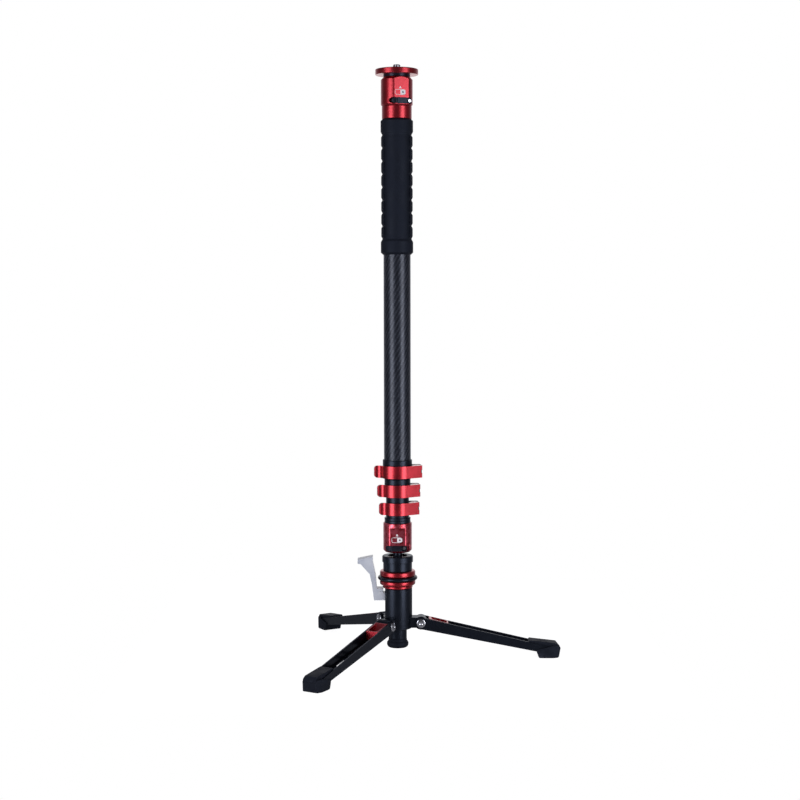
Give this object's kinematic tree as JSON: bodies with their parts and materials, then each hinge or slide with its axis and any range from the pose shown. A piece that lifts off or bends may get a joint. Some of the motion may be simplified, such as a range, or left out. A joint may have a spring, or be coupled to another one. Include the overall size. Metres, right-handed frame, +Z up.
{
  "type": "camera monopod",
  "caption": "Telescoping carbon camera monopod with flip-lock levers, quick-release sleeves, a pedal-braked ball base and folding feet.",
  "frame": {"origin": "centre of the camera plate's top face, where the camera stands", "axes": "+Z up along the pole, +X to the right along the first folding leg, +Y away from the levers' side"},
  "size_m": [0.3183, 0.3676, 0.7466],
  "materials": {
    "red_anodised": "red anodised, satin",
    "black_anodised": "black anodised, matt",
    "silver_anodised": "silver anodised, matt",
    "carbon": "lacquered carbon fibre with a twill weave",
    "grip_rubber": "matt moulded rubber",
    "foot_rubber": "matt rubber",
    "black_plastic": "moulded black plastic",
    "bright_steel": "polished steel"
  },
  "bodies": {
    "base": {"hub": "black_anodised", "ground_peg": "black_anodised", "peg_foot": "foot_rubber", "leg_pins": "bright_steel", "barrel": "black_anodised", "ball_cup": "black_anodised", "pedal_pin": "bright_steel", "plunger_spring": "bright_steel"},
    "tension_control": {"tension_ring": "red_anodised", "ring_o_ring": "foot_rubber"},
    "seat": {"ball_seat": "black_plastic"},
    "stem": {"ball_stem": "black_anodised"},
    "lower_section": {"tube_4": "carbon", "tube_4_guide": "black_plastic", "base_collar": "black_anodised", "base_sleeve": "red_anodised"},
    "base_lock": {"base_lock_slider": "black_plastic", "base_lock_screw": "bright_steel"},
    "third_section": {"tube_3": "carbon", "tube_3_guide": "black_plastic", "clamp_3_body": "black_anodised", "clamp_3_bush": "black_plastic", "clamp_3_bolt": "bright_steel", "lever_3_pin": "bright_steel"},
    "third_lever": {"lever_3": "red_anodised"},
    "second_section": {"tube_2": "carbon", "tube_2_guide": "black_plastic", "clamp_2_body": "black_anodised", "clamp_2_bush": "black_plastic", "clamp_2_bolt": "bright_steel", "lever_2_pin": "bright_steel"},
    "second_lever": {"lever_2": "red_anodised"},
    "top_section": {"main_tube": "carbon", "grip": "grip_rubber", "head_collar": "red_anodised", "head_sleeve": "red_anodised", "clamp_1_body": "black_anodised", "clamp_1_bush": "black_plastic", "clamp_1_bolt": "bright_steel", "lever_1_pin": "bright_steel"},
    "first_lever": {"lever_1": "red_anodised"},
    "head_lock": {"head_lock_slider": "black_plastic", "head_lock_screw": "bright_steel"},
    "head": {"camera_stud": "bright_steel", "camera_plate": "red_anodised", "head_plug": "black_anodised"},
    "brake_pedal": {"pedal": "silver_anodised"},
    "brake": {"brake_plunger": "silver_anodised"},
    "folding_leg_1": {"leg_1": "black_anodised", "foot_1": "foot_rubber"},
    "leg_latch_1": {"latch_1": "red_anodised"},
    "folding_leg_2": {"leg_2": "black_anodised", "foot_2": "foot_rubber"},
    "leg_latch_2": {"latch_2": "red_anodised"},
    "folding_leg_3": {"leg_3": "black_anodised", "foot_3": "foot_rubber"},
    "leg_latch_3": {"latch_3": "red_anodised"}
  },
  "joints": [
    {"name": "tension_turn", "type": "hinge", "parent": "base", "child": "tension_control", "pos_m": [0, 0, -0.64], "axis": [0, 0, 1], "range_deg": [0, 120]},
    {"name": "ball_pan", "type": "hinge", "parent": "base", "child": "seat", "pos_m": [0, 0, -0.6238], "axis": [0, 0, 1], "continuous": true},
    {"name": "ball_tilt", "type": "hinge", "parent": "seat", "child": "stem", "pos_m": [0, 0, -0.6238], "axis": [0, -1, 0], "range_deg": [-15, 0]},
    {"name": "base_release", "type": "slide", "parent": "stem", "child": "lower_section", "axis": [0, 0, 1], "range_m": [0, 0.032]},
    {"name": "base_lock_slide", "type": "slide", "parent": "lower_section", "child": "base_lock", "axis": [1, 0, 0], "range_m": [0, 0.003]},
    {"name": "third_section_slide", "type": "slide", "parent": "lower_section", "child": "third_section", "axis": [0, 0, 1], "range_m": [0, 0.355]},
    {"name": "second_section_slide", "type": "slide", "parent": "third_section", "child": "second_section", "axis": [0, 0, 1], "range_m": [0, 0.355]},
    {"name": "top_section_slide", "type": "slide", "parent": "second_section", "child": "top_section", "axis": [0, 0, 1], "range_m": [0, 0.355]},
    {"name": "lever_1_open", "type": "hinge", "parent": "top_section", "child": "first_lever", "pos_m": [0.02594, -0.00418, -0.50245], "axis": [0, 0, 1], "range_deg": [0, 100]},
    {"name": "lever_2_open", "type": "hinge", "parent": "second_section", "child": "second_lever", "pos_m": [0.02349, -0.00314, -0.52675], "axis": [0, 0, 1], "range_deg": [0, 100]},
    {"name": "lever_3_open", "type": "hinge", "parent": "third_section", "child": "third_lever", "pos_m": [0.02236, -0.00137, -0.54975], "axis": [0, 0, 1], "range_deg": [0, 100]},
    {"name": "head_release", "type": "slide", "parent": "top_section", "child": "head", "axis": [0, 0, 1], "range_m": [0, 0.04]},
    {"name": "head_lock_slide", "type": "slide", "parent": "top_section", "child": "head_lock", "axis": [0.9397, 0.342, 0], "range_m": [-0.003, 0]},
    {"name": "pedal_press", "type": "hinge", "parent": "base", "child": "brake_pedal", "pos_m": [-0.0136, 0, -0.6618], "axis": [0, -1, 0], "range_deg": [0, 8], "stiffness_Nm_per_rad": 1, "springref_deg": -5.73},
    {"name": "plunger_lift", "type": "slide", "parent": "base", "child": "brake", "axis": [0, 0, 1], "range_m": [0, 0.00195], "deforming": ["plunger_spring"]},
    {"name": "leg_1_fold", "type": "hinge", "parent": "base", "child": "folding_leg_1", "pos_m": [0.0297, 0, -0.6961], "axis": [0, -1, 0], "range_deg": [0, 95]},
    {"name": "leg_2_fold", "type": "hinge", "parent": "base", "child": "folding_leg_2", "pos_m": [-0.01485, 0.02572, -0.6961], "axis": [0.866, 0.5, 0], "range_deg": [0, 95]},
    {"name": "leg_3_fold", "type": "hinge", "parent": "base", "child": "folding_leg_3", "pos_m": [-0.01485, -0.02572, -0.6961], "axis": [-0.866, 0.5, 0], "range_deg": [0, 95]},
    {"name": "latch_1_slide", "type": "slide", "parent": "folding_leg_1", "child": "leg_latch_1", "axis": [0.9778, 0, -0.2096], "range_m": [0, 0.004], "stiffness_N_per_m": 300, "springref_m": -0.003},
    {"name": "latch_2_slide", "type": "slide", "parent": "folding_leg_2", "child": "leg_latch_2", "axis": [-0.4889, 0.8468, -0.2096], "range_m": [0, 0.004], "stiffness_N_per_m": 300, "springref_m": -0.003},
    {"name": "latch_3_slide", "type": "slide", "parent": "folding_leg_3", "child": "leg_latch_3", "axis": [-0.4889, -0.8468, -0.2096], "range_m": [0, 0.004], "stiffness_N_per_m": 300, "springref_m": -0.003}
  ],
  "couplings": [
    {"joint": "plunger_lift", "follows": "pedal_press", "m_per_rad": 0.0138}
  ]
}
